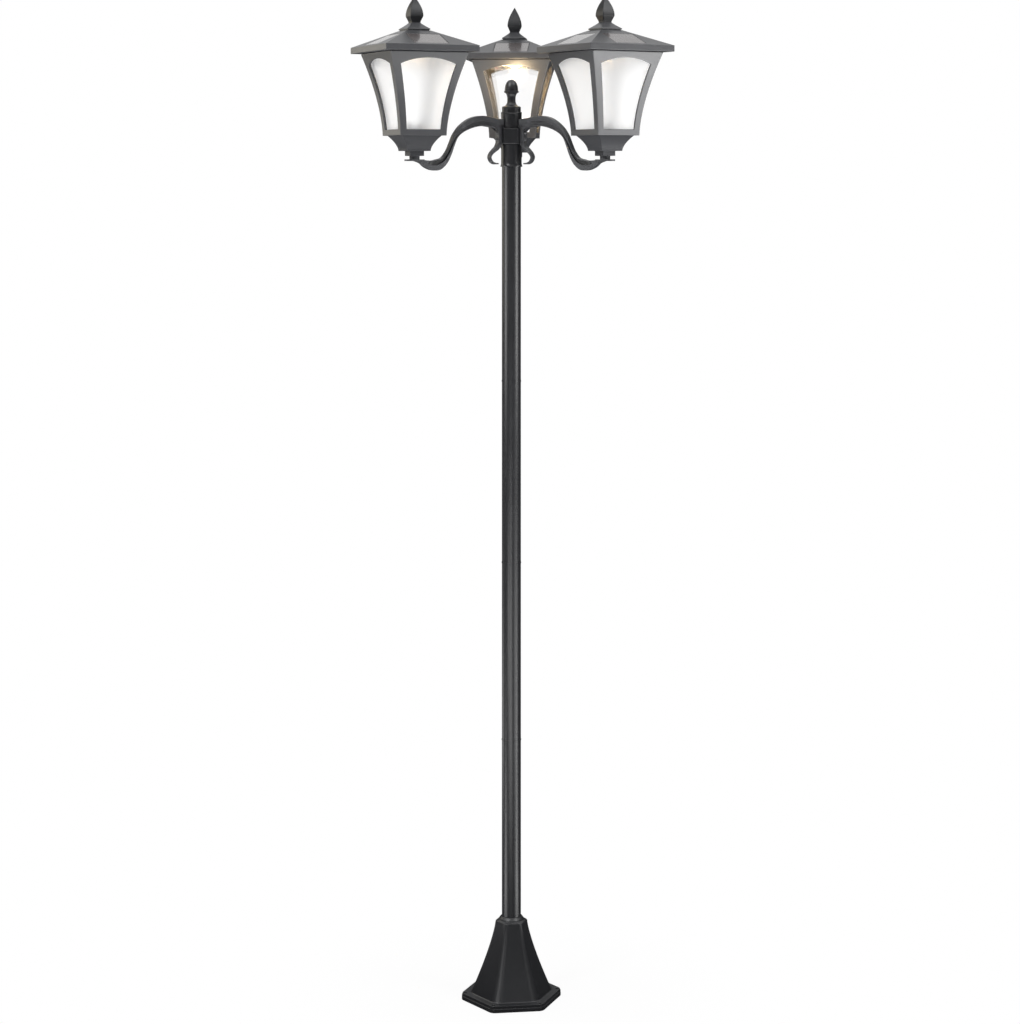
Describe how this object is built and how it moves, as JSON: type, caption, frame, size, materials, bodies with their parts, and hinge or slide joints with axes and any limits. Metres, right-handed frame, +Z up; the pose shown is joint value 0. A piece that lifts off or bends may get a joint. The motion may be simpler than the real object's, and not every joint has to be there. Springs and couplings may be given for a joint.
{
  "type": "solar garden lamp",
  "caption": "Free-standing garden lamp post with a flared six-sided base, a round sectional pole and scroll arms that carry square lanterns with solar roofs.",
  "frame": {"origin": "on the pole's axis at ground level, the centre of the circle of ground screw holes", "axes": "+Z up along the pole; the back arm points along +Y; the left and right arms point 30 degrees in front of -X and +X"},
  "size_m": [0.5833, 0.5136, 1.8254],
  "materials": {
    "black_plastic": "satin moulded plastic",
    "black_paint": "satin black paint on steel tube",
    "screw_steel": "blackened steel",
    "clear_pane": "clear",
    "solar_glass": "glossy cell under clear cover",
    "white_plastic": "smooth",
    "warm_lens": "frosted, glows warm white",
    "board_green": "solder mask",
    "battery_sleeve": "shrink sleeve",
    "switch_red": "smooth"
  },
  "bodies": {
    "post": {"base": "black_plastic", "pole_section_1": "black_paint", "pole_section_2": "black_paint", "pole_section_3": "black_paint", "pole_section_4": "black_paint", "pole_couplings": "black_plastic", "hub": "black_plastic", "hub_finial": "black_plastic", "arm_screws": "screw_steel", "arm_left": "black_plastic", "arm_right": "black_plastic", "arm_back": "black_plastic", "stud_left": "screw_steel", "stud_right": "screw_steel", "stud_back": "screw_steel", "thumb_nut_left": "black_plastic", "thumb_nut_right": "black_plastic", "thumb_nut_back": "black_plastic"},
    "lantern_left": {"pan_left": "black_plastic", "frame_left": "black_plastic", "panes_left": "clear_pane"},
    "roof_module_left": {"roof_left": "black_plastic", "solar_panels_left": "solar_glass", "roof_cap_left": "black_plastic", "finial_left": "black_plastic", "lamp_housing_left": "white_plastic", "lens_left": "warm_lens", "circuit_board_left": "board_green", "battery_left": "battery_sleeve", "battery_cover_left": "white_plastic"},
    "switch_slider_left": {"switch_left": "switch_red"},
    "lantern_right": {"pan_right": "black_plastic", "frame_right": "black_plastic", "panes_right": "clear_pane"},
    "roof_module_right": {"roof_right": "black_plastic", "solar_panels_right": "solar_glass", "roof_cap_right": "black_plastic", "finial_right": "black_plastic", "lamp_housing_right": "white_plastic", "lens_right": "warm_lens", "circuit_board_right": "board_green", "battery_right": "battery_sleeve", "battery_cover_right": "white_plastic"},
    "switch_slider_right": {"switch_right": "switch_red"},
    "lantern_back": {"pan_back": "black_plastic", "frame_back": "black_plastic", "panes_back": "clear_pane"},
    "roof_module_back": {"roof_back": "black_plastic", "solar_panels_back": "solar_glass", "roof_cap_back": "black_plastic", "finial_back": "black_plastic", "lamp_housing_back": "white_plastic", "lens_back": "warm_lens", "circuit_board_back": "board_green", "battery_back": "battery_sleeve", "battery_cover_back": "white_plastic"},
    "switch_slider_back": {"switch_back": "switch_red"}
  },
  "joints": [
    {"name": "lantern_turn_left", "type": "hinge", "parent": "post", "child": "lantern_left", "pos_m": [-0.17061, -0.0985, 1.533], "axis": [0, 0, 1], "continuous": true},
    {"name": "roof_lift_left", "type": "slide", "parent": "lantern_left", "child": "roof_module_left", "axis": [0, 0, 1], "range_m": [0, 0.08]},
    {"name": "switch_slide_left", "type": "slide", "parent": "roof_module_left", "child": "switch_slider_left", "axis": [-0.8988, -0.4384, 0], "range_m": [0, 0.003]},
    {"name": "lantern_turn_right", "type": "hinge", "parent": "post", "child": "lantern_right", "pos_m": [0.17061, -0.0985, 1.533], "axis": [0, 0, 1], "continuous": true},
    {"name": "roof_lift_right", "type": "slide", "parent": "lantern_right", "child": "roof_module_right", "axis": [0, 0, 1], "range_m": [0, 0.08]},
    {"name": "switch_slide_right", "type": "slide", "parent": "roof_module_right", "child": "switch_slider_right", "axis": [0.5446, -0.8387, 0], "range_m": [0, 0.003]},
    {"name": "lantern_turn_back", "type": "hinge", "parent": "post", "child": "lantern_back", "pos_m": [0, 0.197, 1.533], "axis": [0, 0, 1], "continuous": true},
    {"name": "roof_lift_back", "type": "slide", "parent": "lantern_back", "child": "roof_module_back", "axis": [0, 0, 1], "range_m": [0, 0.08]},
    {"name": "switch_slide_back", "type": "slide", "parent": "roof_module_back", "child": "switch_slider_back", "axis": [0.0698, 0.9976, 0], "range_m": [0, 0.003]}
  ]
}
